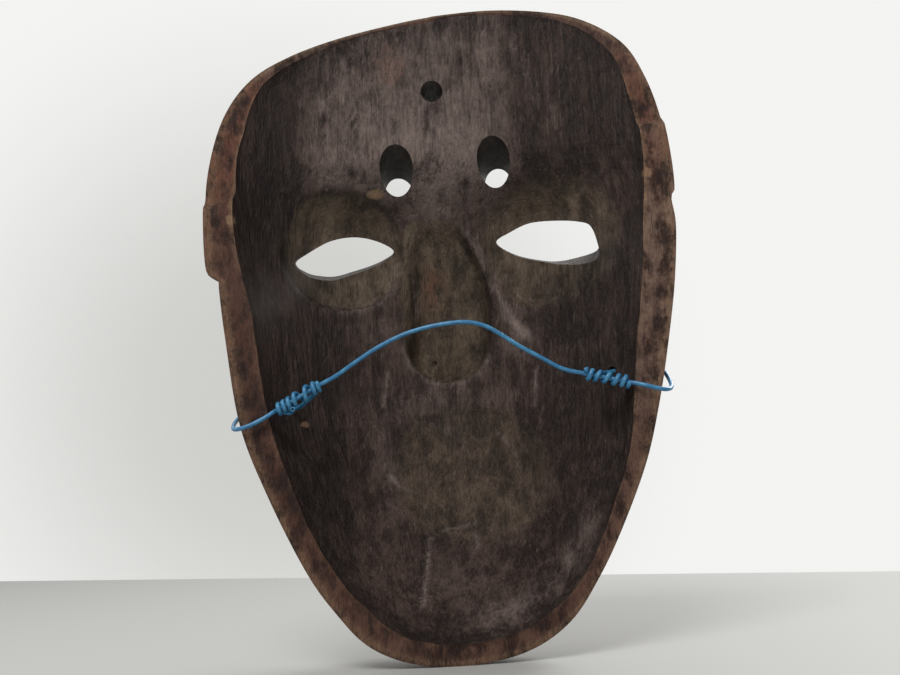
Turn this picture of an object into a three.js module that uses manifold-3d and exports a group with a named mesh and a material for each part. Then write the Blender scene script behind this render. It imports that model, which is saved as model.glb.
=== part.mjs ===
// A carved wooden folk mask with a hanging wire, in millimetres, +Z up.
// The face looks along -Y and the open hollow faces +Y. The origin is on the rim's back plane,
// on the nose line, at the height of the lower cheekbones.
import * as THREE from 'three';
import * as BufferGeometryUtils from 'three/addons/utils/BufferGeometryUtils.js';
import Module from 'manifold-3d';

const wasm = await Module();
wasm.setup();

// ---- driving dimensions -------------------------------------------------------------------

// Outer edge of the rim as [x, z], from the chin up the wearer's left side and round.
const RIM_OUTLINE = [
  [0, -136], [22, -134], [40, -126], [53, -112], [65, -94], [80, -62], [91, -31], [97, 8],
  [99, 30], [104, 39], [105, 62], [103, 86], [96, 112], [84, 131], [67, 143], [46, 152],
  [22, 159], [-2, 164], [-30, 166], [-56, 162], [-74, 154], [-90, 138], [-98, 118], [-103, 96],
  [-105, 76], [-104, 45], [-101, 20], [-96, -5], [-90, -30], [-82, -56], [-70, -82],
  [-58, -103], [-44, -121], [-25, -132],
];
const RIM_TOP = 166;
const CENTRE_Z = 12;
const RIM_CHAMFER = 1.2;

// Width of the flat rim against height, as [z, width], on the wearer's left and right.
const RIM_WIDTHS_LEFT = [
  [-136, 8], [-122, 11], [-60, 11.5], [-25, 12.5], [33, 13.5], [42, 16], [77, 14.5], [118, 12],
  [146, 6], [166, 3],
];
const RIM_WIDTHS_RIGHT = [
  [-136, 8], [-100, 6.5], [-64, 7.5], [-30, 12.5], [45, 16], [83, 14.5], [120, 13], [146, 7], [166, 3],
];

// Above each temple the rim steps down and then falls away towards the forehead.
const TEMPLE_LEFT_Z = 72;
const TEMPLE_RIGHT_Z = 92;
const TEMPLE_STEP = 4;
const TEMPLE_STEP_LENGTH = 7;
const FOREHEAD_FALL = 23;
const FALL_POWER = 2.2;

// Face side: a rounded block, and the features that stand on it.
const FACE_DEPTH = 65;
const FACE_ROUNDNESS = [3.2, 1.8];
const BROW = { z: 86, halfWidth: 44, height: 6, spread: 9 };
const NOSE = { top: 82, base: -12, bridge: 9, tip: 35, bridgeHalf: 9, tipHalf: 13 };
const NOSTRIL = { x: 14, z: -5, height: 11, spread: 8 };
const CHEEK = { x: 54, z: 2, height: 7, spreadX: 22, spreadZ: 26 };
const LIPS = { z: -52, halfWidth: 27, apart: 6, height: 7, spread: 5 };
const CHIN = { z: -106, height: 9, spreadX: 26, spreadZ: 17 };
const LIP_GROOVE = { z: -77, depth: 4, spreadX: 26, spreadZ: 8 };

// Hollow side.
const HOLLOW_DEPTH = 50;
const HOLLOW_ROUNDNESS = [2.4, 1.4];
const FOREHEAD_HOLLOW = 34;
const FOREHEAD_FLOOR_Z = [62, 98];
const SOCKET = { z: 54, halfWidth: 31, halfHeight: 28, depth: 5 };
const SOCKET_LEFT_X = 47;
const SOCKET_RIGHT_X = -50;
const NOSE_HOLLOW = { top: 68, bottom: -12, halfTop: 13, halfBottom: 21, depth: 19 };

// Holes.
const EYE_LEFT = { inner: [24, 57], outer: [72, 51.5], top: 15, bottom: 13 };
const EYE_RIGHT = { inner: [-27, 57], outer: [-77, 54], top: 15, bottom: 13 };
const HORN_SOCKET_RADIUS = 7;
const HORN_LEFT = { from: [18.5, -20, 87.2], to: [21, -90, 92] };
const HORN_RIGHT = { from: [-25.6, -20, 87.2], to: [-37.5, -90, 92] };
const TOP_HOLE_RADIUS = 5.2;
const TOP_HOLE = { from: [0, -15, 127], to: [0, -80, 128] };
const WIRE_HOLE_RADIUS = 2.25;
const WIRE_HOLE_LEFT = { from: [58, -17, -23.4], to: [104, -17, -26] };
const WIRE_HOLE_RIGHT = { from: [-60, -17, -16.7], to: [-106, -17, -14.1] };

// Hanging wire: a copper core in a plastic jacket.
const JACKET_RADIUS = 0.95;
const JACKET_BORE = 0.6;
const CORE_RADIUS = 0.4;
const WIRE_SIDES = 8;
const WIRE_STEP = 5.5;
const TWIST_RADIUS = 3.2;

const LEFT_TWIST = { from: [74.6, -0.4, -25.9], to: [56, 0.6, -16.4] };
const RIGHT_TWIST = { from: [-58.6, -0.6, -18.2], to: [-77, 1, -23.2] };

const SPAN_ROUTE = [
  [55.3, 0.8, -16], [48.6, 2.6, -13.2], [40.8, 4.2, -8.6], [32.3, 5.4, -3.7], [23.7, 6.2, 0.4],
  [15, 6.8, 3.4], [4, 7.2, 5.5], [-7.4, 7, 6.2], [-15.8, 6.4, 4.4], [-22.3, 5.8, 0.6],
  [-30, 4.8, -4.8], [-40, 3.2, -10.8], [-49, 1.2, -15.8], [-57.9, -0.7, -17.9],
];
const LEFT_LOOP_ROUTE = [
  [75.5, 0, -26.3], [80, 2, -29.3], [85.5, 2.9, -31.9], [90.4, 2.6, -33.2], [93.8, -1.6, -32.6],
  [94.8, -8.5, -29.8], [93.8, -14.6, -26.8], [90.5, -17, -25.2], [80, -17, -24.6],
  [70.5, -17, -24.1], [66.6, -14.4, -23.4], [65.1, -9.5, -22.4], [64.9, -4.3, -21.3],
];
const RIGHT_LOOP_ROUTE = [
  [-77.9, 1.5, -23.4], [-82.5, 3.1, -24.9], [-87.6, 3.6, -26.6], [-92, 3.1, -27.4],
  [-95.3, -2, -26], [-96, -8.6, -21.8], [-94.9, -14.4, -17.2], [-92, -17, -14.9], [-82, -17, -15.5],
  [-74, -17, -15.9], [-70.2, -14.6, -16.6], [-68.4, -9.8, -18], [-68.2, -5, -19.6],
];

// Mesh density of the carved body.
const SEGMENTS_ROUND = 76;
const ROWS_FACE = 19;
const ROWS_RIM = 2;
const ROWS_HOLLOW = 15;
const HOLE_SIDES = 20;

const WOOD = new THREE.MeshStandardMaterial({ color: 0x46342e, roughness: 0.6, metalness: 0 });
const BLUE = new THREE.MeshStandardMaterial({ color: 0x3f86b8, roughness: 0.35, metalness: 0 });
const COPPER = new THREE.MeshStandardMaterial({ color: 0xb87348, roughness: 0.3, metalness: 1 });

// ---- helpers ------------------------------------------------------------------------------

const { smoothstep, clamp, lerp, euclideanModulo } = THREE.MathUtils;

function toVector([x, y, z]) {
  return new THREE.Vector3(x, y, z);
}

function toManifold(geometry) {
  const bare = geometry.clone();
  bare.deleteAttribute('normal');
  bare.deleteAttribute('uv');
  const merged = BufferGeometryUtils.mergeVertices(bare, 1e-4);
  return new wasm.Manifold(new wasm.Mesh({
    numProp: 3,
    vertProperties: new Float32Array(merged.attributes.position.array),
    triVerts: new Uint32Array(merged.index.array),
  }));
}

function toGeometry(solid) {
  const mesh = solid.getMesh();
  const geometry = new THREE.BufferGeometry();
  geometry.setAttribute('position', new THREE.BufferAttribute(mesh.vertProperties, 3));
  geometry.setIndex(new THREE.BufferAttribute(mesh.triVerts, 1));
  geometry.computeVertexNormals();
  return geometry;
}

// Value at x on the straight pieces between [x, value] pairs.
function along(pairs, x) {
  const last = pairs.length - 1;
  const i = clamp(pairs.findIndex(([px]) => px >= x), 1, last);
  const [x0, v0] = pairs[i - 1];
  const [x1, v1] = pairs[x > pairs[last][0] ? last : i];
  return lerp(v0, v1, clamp((x - x0) / (x1 - x0), 0, 1));
}

// A bump of height 1 that fades over the given spread.
function bump(distance, spread) {
  return Math.exp(-((distance / spread) ** 2));
}

// ---- carved body --------------------------------------------------------------------------

// How far the rim has fallen towards the face at a point of its outline.
function rimFall(x, z) {
  const start = x > 0 ? TEMPLE_LEFT_Z : TEMPLE_RIGHT_Z;
  const rise = clamp((z - start) / (RIM_TOP - start), 0, 1);
  const step = smoothstep(z, start, start + TEMPLE_STEP_LENGTH);
  return TEMPLE_STEP * step + FOREHEAD_FALL * rise ** FALL_POWER;
}

function noseHeight(x, z) {
  const down = clamp((NOSE.top - z) / (NOSE.top - NOSE.base), 0, 1);
  const ridge = lerp(NOSE.bridge, NOSE.tip, down ** 1.3);
  const half = lerp(NOSE.bridgeHalf, NOSE.tipHalf, down);
  const ends = smoothstep(z, NOSE.base - 10, NOSE.base + 4) * (1 - smoothstep(z, NOSE.top, NOSE.top + 30));
  const wings = NOSTRIL.height * bump(Math.hypot(Math.abs(x) - NOSTRIL.x, z - NOSTRIL.z), NOSTRIL.spread);
  return Math.max(ridge * bump(x, half) * ends, wings);
}

function mouthHeight(x, z) {
  const wide = 1 - smoothstep(Math.abs(x), LIPS.halfWidth * 0.55, LIPS.halfWidth);
  const upper = bump(z - LIPS.z - LIPS.apart, LIPS.spread);
  const lower = bump(z - LIPS.z + LIPS.apart, LIPS.spread);
  return LIPS.height * wide * (upper + lower);
}

function chinHeight(x, z) {
  const ball = CHIN.height * bump(Math.hypot(x / CHIN.spreadX, (z - CHIN.z) / CHIN.spreadZ), 1);
  const groove = bump(Math.hypot(x / LIP_GROOVE.spreadX, (z - LIP_GROOVE.z) / LIP_GROOVE.spreadZ), 1);
  return ball - LIP_GROOVE.depth * groove;
}

// Height of the carved features above the rounded block of the face.
function featureHeight(x, z) {
  const side = Math.abs(x);
  const brow = BROW.height * bump(z - BROW.z, BROW.spread) * bump(side - BROW.halfWidth, BROW.halfWidth);
  const cheek = CHEEK.height * bump(Math.hypot((side - CHEEK.x) / CHEEK.spreadX, (z - CHEEK.z) / CHEEK.spreadZ), 1);
  return brow + cheek + noseHeight(x, z) + mouthHeight(x, z) + chinHeight(x, z);
}

// Depth of the eye and nose recesses below the plain bowl of the hollow.
function recessDepth(x, z) {
  const centre = x > 0 ? SOCKET_LEFT_X : SOCKET_RIGHT_X;
  const fromEye = Math.hypot((x - centre) / SOCKET.halfWidth, (z - SOCKET.z) / SOCKET.halfHeight);
  const eye = SOCKET.depth * (1 - smoothstep(fromEye, 0.8, 1));
  const down = clamp((NOSE_HOLLOW.top - z) / (NOSE_HOLLOW.top - NOSE_HOLLOW.bottom), 0, 1);
  const half = lerp(NOSE_HOLLOW.halfTop, NOSE_HOLLOW.halfBottom, down);
  const ends = smoothstep(z, NOSE_HOLLOW.bottom, NOSE_HOLLOW.bottom + 12)
    * (1 - smoothstep(z, NOSE_HOLLOW.top - 22, NOSE_HOLLOW.top));
  const nose = NOSE_HOLLOW.depth * ends * (1 - smoothstep(Math.abs(x), half * 0.45, half));
  return Math.max(eye, nose);
}

// Height of a superellipse dome, 1 in its middle and 0 at reach 1.
function roundedRise(reach, [across, up]) {
  return Math.max(0, 1 - reach ** across) ** (1 / up);
}

// A point of the rounded block, angle 0 at its middle and a right angle at its edge.
function onFace(edge, angle) {
  const reach = Math.sin(angle);
  const rise = roundedRise(reach, FACE_ROUNDNESS);
  const x = edge.x * reach;
  const z = CENTRE_Z + (edge.y - CENTRE_Z) * reach;
  const start = -rimFall(edge.x, edge.y) - RIM_CHAMFER;
  const fade = 1 - smoothstep(reach, 0.72, 0.97);
  return new THREE.Vector3(x, lerp(start, -FACE_DEPTH, rise) - featureHeight(x, z) * fade, z);
}

function onHollow(crease, fall, angle) {
  const reach = Math.sin(angle);
  const rise = roundedRise(reach, HOLLOW_ROUNDNESS);
  const x = crease.x * reach;
  const z = CENTRE_Z + (crease.y - CENTRE_Z) * reach;
  const floor = lerp(HOLLOW_DEPTH, FOREHEAD_HOLLOW, smoothstep(z, ...FOREHEAD_FLOOR_Z));
  const fade = 1 - smoothstep(reach, 0.75, 0.95);
  return new THREE.Vector3(x, lerp(-fall, -floor, rise) - recessDepth(x, z) * fade, z);
}

// The outline point moved towards the middle by a width.
function inset(edge, width) {
  const middle = new THREE.Vector2(0, CENTRE_Z);
  const inward = middle.clone().sub(edge).normalize();
  return edge.clone().addScaledVector(inward, width);
}

// Row 0 is the deepest point of the hollow and the last row is the middle of the face.
function shellPoint(edge, row) {
  const fall = rimFall(edge.x, edge.y);
  const widths = edge.x > 0 ? RIM_WIDTHS_LEFT : RIM_WIDTHS_RIGHT;
  const crease = inset(edge, along(widths, edge.y));
  if (row <= ROWS_HOLLOW) {
    return onHollow(crease, fall, (row / ROWS_HOLLOW) * Math.PI / 2);
  }
  if (row < ROWS_HOLLOW + ROWS_RIM) {
    const lip = inset(edge, RIM_CHAMFER);
    return new THREE.Vector3(lip.x, -fall, lip.y);
  }
  return onFace(edge, ((ROWS_HOLLOW + ROWS_RIM + ROWS_FACE - row) / ROWS_FACE) * Math.PI / 2);
}

// A ball whose rows are pushed into the hollow, the rim and the face.
function carvedShell() {
  const rows = ROWS_HOLLOW + ROWS_RIM + ROWS_FACE;
  const outline = new THREE.CatmullRomCurve3(
    RIM_OUTLINE.map(([x, z]) => new THREE.Vector3(x, z, 0)), true, 'catmullrom', 0.5,
  );
  const ball = new THREE.SphereGeometry(1, SEGMENTS_ROUND, rows);
  const { position, uv } = ball.attributes;
  for (let i = 0; i < position.count; i += 1) {
    const around = euclideanModulo(Math.round(uv.getX(i) * SEGMENTS_ROUND), SEGMENTS_ROUND);
    const row = Math.round((1 - uv.getY(i)) * rows);
    const edge = outline.getPointAt(1 - around / SEGMENTS_ROUND);
    const point = shellPoint(new THREE.Vector2(edge.x, edge.y), row);
    position.setXYZ(i, point.x, point.y, point.z);
  }
  return toManifold(ball);
}

// A round bore between two points.
function bore({ from, to }, radius) {
  const start = toVector(from);
  const end = toVector(to);
  const rod = new THREE.CylinderGeometry(radius, radius, start.distanceTo(end), HOLE_SIDES);
  const up = new THREE.Vector3(0, 1, 0);
  const turn = new THREE.Quaternion().setFromUnitVectors(up, end.clone().sub(start).normalize());
  rod.applyQuaternion(turn);
  const middle = start.add(end).multiplyScalar(0.5);
  rod.translate(middle.x, middle.y, middle.z);
  return toManifold(rod);
}

// An almond-shaped hole straight through the wall.
function eyeHole({ inner, outer, top, bottom }) {
  const middle = [(inner[0] + outer[0]) / 2, (inner[1] + outer[1]) / 2];
  const almond = new THREE.Shape();
  almond.moveTo(inner[0], inner[1]);
  almond.quadraticCurveTo(middle[0], middle[1] + top, outer[0], outer[1]);
  almond.quadraticCurveTo(middle[0], middle[1] - bottom, inner[0], inner[1]);
  const block = new THREE.ExtrudeGeometry(almond, { depth: 80, bevelEnabled: false, curveSegments: 9 });
  block.rotateX(Math.PI / 2);
  block.translate(0, -20, 0);
  return toManifold(block);
}

function maskBody() {
  const holes = [
    eyeHole(EYE_LEFT),
    eyeHole(EYE_RIGHT),
    bore(HORN_LEFT, HORN_SOCKET_RADIUS),
    bore(HORN_RIGHT, HORN_SOCKET_RADIUS),
    bore(TOP_HOLE, TOP_HOLE_RADIUS),
    bore(WIRE_HOLE_LEFT, WIRE_HOLE_RADIUS),
    bore(WIRE_HOLE_RIGHT, WIRE_HOLE_RADIUS),
  ];
  const body = holes.reduce((solid, hole) => solid.subtract(hole), carvedShell());
  return toGeometry(body);
}

// ---- hanging wire -------------------------------------------------------------------------

function polygon(radius, Kind) {
  const outline = new Kind();
  for (let i = 0; i < WIRE_SIDES; i += 1) {
    const angle = (i / WIRE_SIDES) * Math.PI * 2;
    outline[i === 0 ? 'moveTo' : 'lineTo'](radius * Math.cos(angle), radius * Math.sin(angle));
  }
  outline.closePath();
  return outline;
}

function wireTube(section, route) {
  const path = new THREE.CatmullRomCurve3(route.map(toVector));
  const steps = Math.ceil(path.getLength() / WIRE_STEP);
  return new THREE.ExtrudeGeometry(section, { steps, extrudePath: path, bevelEnabled: false });
}

function jacket(route) {
  const ring = polygon(JACKET_RADIUS, THREE.Shape);
  ring.holes.push(polygon(JACKET_BORE, THREE.Path));
  return wireTube(ring, route);
}

function core(route) {
  return wireTube(polygon(CORE_RADIUS, THREE.Shape), route);
}

// The outer shape of the turns where the wire is wound round itself.
function twist({ from, to }) {
  const start = toVector(from);
  const end = toVector(to);
  const half = start.distanceTo(end) / 2;
  const shoulder = TWIST_RADIUS * 0.6;
  const profile = [
    [0, -half], [shoulder, -half], [TWIST_RADIUS, shoulder - half],
    [TWIST_RADIUS, half - shoulder], [shoulder, half], [0, half],
  ].map(([r, h]) => new THREE.Vector2(r, h));
  const solid = new THREE.LatheGeometry(profile, 12);
  const up = new THREE.Vector3(0, 1, 0);
  solid.applyQuaternion(new THREE.Quaternion().setFromUnitVectors(up, end.clone().sub(start).normalize()));
  const middle = start.add(end).multiplyScalar(0.5);
  solid.translate(middle.x, middle.y, middle.z);
  return toGeometry(toManifold(solid));
}

// ---- assembly -----------------------------------------------------------------------------

function piece(name, geometry, material) {
  const mesh = new THREE.Mesh(geometry, material);
  mesh.name = name;
  return mesh;
}

function hangingWire() {
  const wire = new THREE.Group();
  wire.add(
    piece('wire_span_jacket', jacket(SPAN_ROUTE), BLUE),
    piece('wire_span_core', core(SPAN_ROUTE), COPPER),
    piece('left_loop_jacket', jacket(LEFT_LOOP_ROUTE), BLUE),
    piece('left_loop_core', core(LEFT_LOOP_ROUTE), COPPER),
    piece('right_loop_jacket', jacket(RIGHT_LOOP_ROUTE), BLUE),
    piece('right_loop_core', core(RIGHT_LOOP_ROUTE), COPPER),
    piece('left_twist', twist(LEFT_TWIST), BLUE),
    piece('right_twist', twist(RIGHT_TWIST), BLUE),
  );
  return wire;
}

const mask = new THREE.Group();
mask.add(piece('mask_body', maskBody(), WOOD), hangingWire());

export default mask;
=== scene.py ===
# A carved wooden folk mask with a hanging wire, seen from its hollow back. Metres, +Z up.
# The face looks along -Y and the hollow opens along +Y. Shapes are given in millimetres, times MM.
import math
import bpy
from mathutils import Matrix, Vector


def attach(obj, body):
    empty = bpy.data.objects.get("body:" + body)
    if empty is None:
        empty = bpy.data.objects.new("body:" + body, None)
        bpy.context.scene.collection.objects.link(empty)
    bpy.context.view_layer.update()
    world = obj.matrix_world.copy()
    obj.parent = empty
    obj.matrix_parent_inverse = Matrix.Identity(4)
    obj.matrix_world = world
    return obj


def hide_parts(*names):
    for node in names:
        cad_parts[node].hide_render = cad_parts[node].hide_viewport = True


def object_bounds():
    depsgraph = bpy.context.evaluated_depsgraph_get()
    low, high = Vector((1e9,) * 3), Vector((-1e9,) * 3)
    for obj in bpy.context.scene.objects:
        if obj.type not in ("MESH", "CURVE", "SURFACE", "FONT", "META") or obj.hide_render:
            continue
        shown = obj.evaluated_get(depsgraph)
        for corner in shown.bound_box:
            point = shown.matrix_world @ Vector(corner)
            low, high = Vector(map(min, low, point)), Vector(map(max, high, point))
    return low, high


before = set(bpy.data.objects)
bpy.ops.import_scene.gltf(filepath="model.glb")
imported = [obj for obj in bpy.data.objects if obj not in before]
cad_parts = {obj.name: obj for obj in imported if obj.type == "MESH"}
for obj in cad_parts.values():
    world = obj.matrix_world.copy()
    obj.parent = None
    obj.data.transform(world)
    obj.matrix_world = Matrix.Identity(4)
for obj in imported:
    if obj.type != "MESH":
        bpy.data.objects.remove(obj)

from types import SimpleNamespace

import bpy
import numpy as np
from mathutils import Matrix, Vector
from mathutils.kdtree import KDTree

CAD_BOX = [list(corner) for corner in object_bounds()]
MM = 0.001


# ---- shader maths ----------------------------------------------------------------------------


class Flow:
    """A value or a colour on its way through a material's nodes."""

    def __init__(self, tree, socket):
        self.tree = tree
        self.socket = socket

    def node(self, kind, settings=(), sockets=(), output=0):
        """Adds a node, sets it up, and feeds its sockets with values or other flows."""
        made = self.tree.nodes.new(kind)
        for name, value in dict(settings).items():
            setattr(made, name, value)
        for name, value in dict(sockets).items():
            if isinstance(value, Flow):
                self.tree.links.new(value.socket, made.inputs[name])
            else:
                made.inputs[name].default_value = value
        return Flow(self.tree, made.outputs[output])

    def is_vector(self):
        return self.socket.type in ("RGBA", "VECTOR")

    def reckon(self, operation, first, second):
        """One Math node, or one Vector Math node where a colour or a vector takes part."""
        flows = [flow for flow in (first, second) if isinstance(flow, Flow)]
        if any(flow.is_vector() for flow in flows) or isinstance(second, tuple):
            return self.node("ShaderNodeVectorMath", {"operation": operation}, {0: first, 1: second})
        return self.node("ShaderNodeMath", {"operation": operation}, {0: first, 1: second})

    def __add__(self, other):
        return self.reckon("ADD", self, other)

    def __radd__(self, other):
        return self.reckon("ADD", other, self)

    def __sub__(self, other):
        return self.reckon("SUBTRACT", self, other)

    def __rsub__(self, other):
        return self.reckon("SUBTRACT", other, self)

    def __mul__(self, other):
        return self.reckon("MULTIPLY", self, other)

    def __rmul__(self, other):
        return self.reckon("MULTIPLY", other, self)

    def least(self, other):
        return self.reckon("MINIMUM", self, other)

    def most(self, other):
        return self.reckon("MAXIMUM", self, other)

    def rise(self, low, high):
        """0 below low and 1 above high, with a smooth run between them."""
        sockets = {"Value": self, "From Min": low, "From Max": high}
        return self.node("ShaderNodeMapRange", {"interpolation_type": "SMOOTHSTEP"}, sockets)

    def part(self, axis):
        return self.node("ShaderNodeSeparateXYZ", (), {"Vector": self}, "XYZ".index(axis))


def mix_colours(factor, first, second):
    """First where the factor is 0 and second where it is 1."""
    made = factor.tree.nodes.new("ShaderNodeMix")
    made.data_type = "RGBA"
    places = [socket for socket in made.inputs if socket.type == "RGBA"]
    factor.tree.links.new(factor.socket, made.inputs[0])
    for socket, value in zip(places, (first, second)):
        if isinstance(value, Flow):
            factor.tree.links.new(value.socket, socket)
        else:
            socket.default_value = (*value, 1)
    result = [socket for socket in made.outputs if socket.type == "RGBA"][0]
    return Flow(factor.tree, result)


# ---- camera, light and floor ----------------------------------------------------------------

CAMERA_LENS = 40
CAMERA_CLIP_START = 0.01
CAMERA_DISTANCE = 0.433
CAMERA_ELEVATION = math.radians(-9.5)
CAMERA_ROLL = math.radians(3.5)
CAMERA_SLIP = (0.0013, 0.0011)


def place_camera():
    """Looks into the hollow from below its middle, turned a little, as the mask leans back."""
    back = Vector((0, math.cos(CAMERA_ELEVATION), math.sin(CAMERA_ELEVATION)))
    right = Vector((-1, 0, 0))
    up = right.cross(-back)
    turned_right = math.cos(CAMERA_ROLL) * right - math.sin(CAMERA_ROLL) * up
    turned_up = math.sin(CAMERA_ROLL) * right + math.cos(CAMERA_ROLL) * up
    spot = back * CAMERA_DISTANCE + turned_right * CAMERA_SLIP[0] + turned_up * CAMERA_SLIP[1]
    data = bpy.data.cameras.new("camera")
    data.lens = CAMERA_LENS
    data.clip_start = CAMERA_CLIP_START
    camera = bpy.data.objects.new("camera", data)
    bpy.context.collection.objects.link(camera)
    turn = Matrix((turned_right, turned_up, back)).transposed()
    camera.matrix_world = Matrix.Translation(spot) @ turn.to_4x4()
    bpy.context.scene.camera = camera


# The floor lies under the chin, and its far edge is slanted from left to right.
FLOOR_Z = CAD_BOX[0][2]
FLOOR_NEAR = 0.95
FLOOR_FAR_LEFT = -1.16
FLOOR_FAR_RIGHT = 0.11
FLOOR_HALF_WIDTH = 0.9
FLOOR_COLOUR = (0.385, 0.385, 0.37, 1)
FLOOR_ROUGHNESS = 0.7
# The room: a pale wall, its shaded part and where that lies, and the darker side behind the camera.
WALL_PALE = (0.90, 0.90, 0.885)
WALL_SHADED = (0.62, 0.62, 0.60)
WALL_SHADE_AIM = (0.16, -0.98, 0.12)
ROOM_DARK = (0.38, 0.375, 0.365)
# Each light: its place, its width and its power in watts.
LIGHTS = {
    "window light": ((0.28, 0.85, 1.0), 0.6, 13.5),
    "face light": ((-0.95, -0.85, 0.95), 0.7, 17),
}


def lay_floor():
    """A plain pale floor that ends behind the mask, as a shelf does at a wall."""
    bpy.ops.object.select_all(action="DESELECT")
    bpy.ops.mesh.primitive_plane_add(size=2, location=(0, 0, 0))
    floor = bpy.context.object
    floor.name = "floor"
    corners = [(-FLOOR_HALF_WIDTH, FLOOR_FAR_RIGHT), (FLOOR_HALF_WIDTH, FLOOR_FAR_LEFT),
               (-FLOOR_HALF_WIDTH, FLOOR_NEAR), (FLOOR_HALF_WIDTH, FLOOR_NEAR)]
    for vertex, (x, y) in zip(floor.data.vertices, corners):
        vertex.co = (x, y, FLOOR_Z)
    material = bpy.data.materials.new("pale floor")
    material.use_nodes = True
    shader = material.node_tree.nodes["Principled BSDF"]
    shader.inputs["Base Color"].default_value = FLOOR_COLOUR
    shader.inputs["Roughness"].default_value = FLOOR_ROUGHNESS
    floor.data.materials.append(material)


def light_room():
    """A pale wall behind the mask, a darker room before it, and one soft light on each side."""
    world = bpy.data.worlds.new("pale room")
    bpy.context.scene.world = world
    world.use_nodes = True
    tree = world.node_tree
    place = Flow(tree, None).node("ShaderNodeTexCoord")
    away = place.node("ShaderNodeVectorMath", {"operation": "DISTANCE"}, {0: place, 1: WALL_SHADE_AIM}, 1)
    wall = mix_colours(away.rise(0.08, 0.42), WALL_SHADED, WALL_PALE)
    room = mix_colours(place.part("Y").rise(-0.35, 0.3), wall, ROOM_DARK)
    tree.links.new(room.socket, tree.nodes["Background"].inputs["Color"])
    bpy.context.scene.view_settings.view_transform = "Standard"
    for name, (spot, size, power) in LIGHTS.items():
        data = bpy.data.lights.new(name, "AREA")
        data.size = size
        data.energy = power
        lamp = bpy.data.objects.new(name, data)
        bpy.context.collection.objects.link(lamp)
        lamp.location = spot
        lamp.rotation_euler = Vector(spot).to_track_quat("Z", "Y").to_euler()


place_camera()
lay_floor()
light_room()


# ---- cords: the hanging wire's route ---------------------------------------------------------

# The points are the hanging wire's own route, in millimetres, from loop to loop.
WIRE_DIAMETER = 1.9
WIRE_STEP = 0.7
LEFT_TWIST = ((74.6, -0.4, -25.9), (56, 0.6, -16.4))
RIGHT_TWIST = ((-58.6, -0.6, -18.2), (-77, 1, -23.2))
SPAN_ROUTE = [
    (55.3, 0.8, -16), (48.6, 2.6, -13.2), (40.8, 4.2, -8.6), (32.3, 5.4, -3.7), (23.7, 6.2, 0.4),
    (15, 6.8, 3.4), (4, 7.2, 5.5), (-7.4, 7, 6.2), (-15.8, 6.4, 4.4), (-22.3, 5.8, 0.6),
    (-30, 4.8, -4.8), (-40, 3.2, -10.8), (-49, 1.2, -15.8), (-57.9, -0.7, -17.9),
]
LEFT_LOOP_ROUTE = [
    (75.5, 0, -26.3), (80, 2, -29.3), (85.5, 2.9, -31.9), (90.4, 2.6, -33.2), (93.8, -1.6, -32.6),
    (94.8, -8.5, -29.8), (93.8, -14.6, -26.8), (90.5, -17, -25.2), (80, -17, -24.6),
    (70.5, -17, -24.1), (66.6, -14.4, -23.4), (65.1, -9.5, -22.4), (64.9, -4.3, -21.3),
]
RIGHT_LOOP_ROUTE = [
    (-77.9, 1.5, -23.4), (-82.5, 3.1, -24.9), (-87.6, 3.6, -26.6), (-92, 3.1, -27.4),
    (-95.3, -2, -26), (-96, -8.6, -21.8), (-94.9, -14.4, -17.2), (-92, -17, -14.9), (-82, -17, -15.5),
    (-74, -17, -15.9), (-70.2, -14.6, -16.6), (-68.4, -9.8, -18), (-68.2, -5, -19.6),
]


def catmull_rom(points, steps, closed=False):
    """Points along the smooth curve through the given points."""
    pts = np.asarray(points, float)
    count = len(pts)
    spans = count if closed else count - 1
    if closed:
        padded = np.vstack([pts[-1], pts, pts[0], pts[1]])
    else:
        padded = np.vstack([2 * pts[0] - pts[1], pts, 2 * pts[-1] - pts[-2]])
    curve = []
    for i in range(spans):
        p0, p1, p2, p3 = padded[i : i + 4]
        t = np.linspace(0, 1, steps, endpoint=False)[:, None]
        curve.append(
            0.5 * (2 * p1 + (p2 - p0) * t + (2 * p0 - 5 * p1 + 4 * p2 - p3) * t**2
                   + (3 * p1 - p0 - 3 * p2 + p3) * t**3)
        )
    if not closed:
        curve.append(pts[-1:])
    return np.vstack(curve)


def even_spacing(points, step):
    """The same line with points a constant distance apart."""
    gaps = np.linalg.norm(np.diff(points, axis=0), axis=1)
    reach = np.concatenate([[0], np.cumsum(gaps)])
    count = max(2, int(round(reach[-1] / step)) + 1)
    marks = np.linspace(0, reach[-1], count)
    return np.column_stack([np.interp(marks, reach, points[:, k]) for k in range(3)])


def twist_axis(twist):
    """The straight line that the wire's end is wound round: start, direction and length."""
    start, end = (np.asarray(point, float) for point in twist)
    length = float(np.linalg.norm(end - start))
    return start, (end - start) / length, length


TURN_POINTS = 600
TURN_THINNING = 6


def wound_turns(twist, pitches, radii, first_angle):
    """A winding round a twist's axis, from its start, whose pitch and radius change along it."""
    start, along, length = twist_axis(twist)
    side = np.cross(along, (0, 0, 1))
    side /= np.linalg.norm(side)
    up = np.cross(side, along)
    marks = np.linspace(0, 1, TURN_POINTS)
    stations = np.linspace(0, 1, len(pitches))
    pitch = np.interp(marks, stations, pitches)
    radius = np.interp(marks, stations, radii)
    turned = 2 * math.pi * length / (TURN_POINTS - 1) / (0.5 * (pitch[1:] + pitch[:-1]))
    angle = first_angle + np.concatenate([[0], np.cumsum(turned)])
    offset = np.cos(angle)[:, None] * side + np.sin(angle)[:, None] * up
    return start + marks[:, None] * length * along + radius[:, None] * offset


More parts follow.
